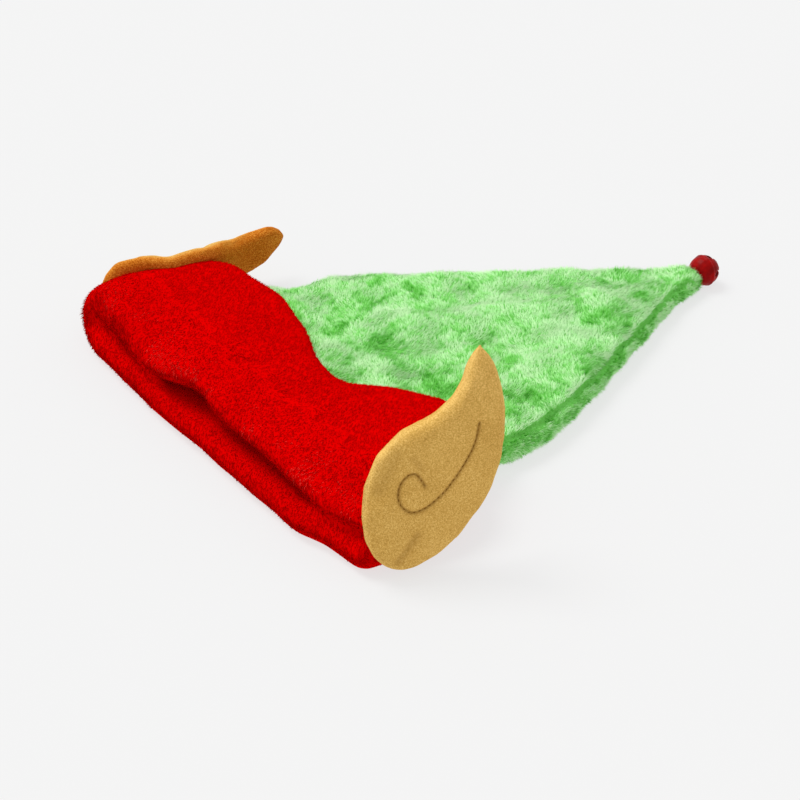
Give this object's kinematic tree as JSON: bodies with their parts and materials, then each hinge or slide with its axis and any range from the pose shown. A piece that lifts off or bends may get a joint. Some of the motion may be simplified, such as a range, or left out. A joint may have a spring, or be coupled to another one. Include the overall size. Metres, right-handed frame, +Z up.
{
  "type": "plush elf hat",
  "caption": "Soft peaked elf hat lying flat: green plush crown, folded red plush cuff, padded pointed ears sewn to its sides, small bell at the tip.",
  "frame": {"origin": "under the middle of the whole hat, on the table", "axes": "+X from the mouth to the peak, +Y towards the side whose ear leans on the table, +Z up from the table"},
  "size_m": [0.3648, 0.3528, 0.1212],
  "materials": {
    "crown_plush": "short green plush with dark and light patches",
    "cuff_plush": "short red plush",
    "ear_felt": "fine beige fleece",
    "bell_enamel": "glossy red enamel"
  },
  "bodies": {
    "root": {"crown": "crown_plush", "cuff": "cuff_plush", "ear_upright": "ear_felt", "ear_leaning": "ear_felt", "bell": "bell_enamel"}
  },
  "joints": []
}
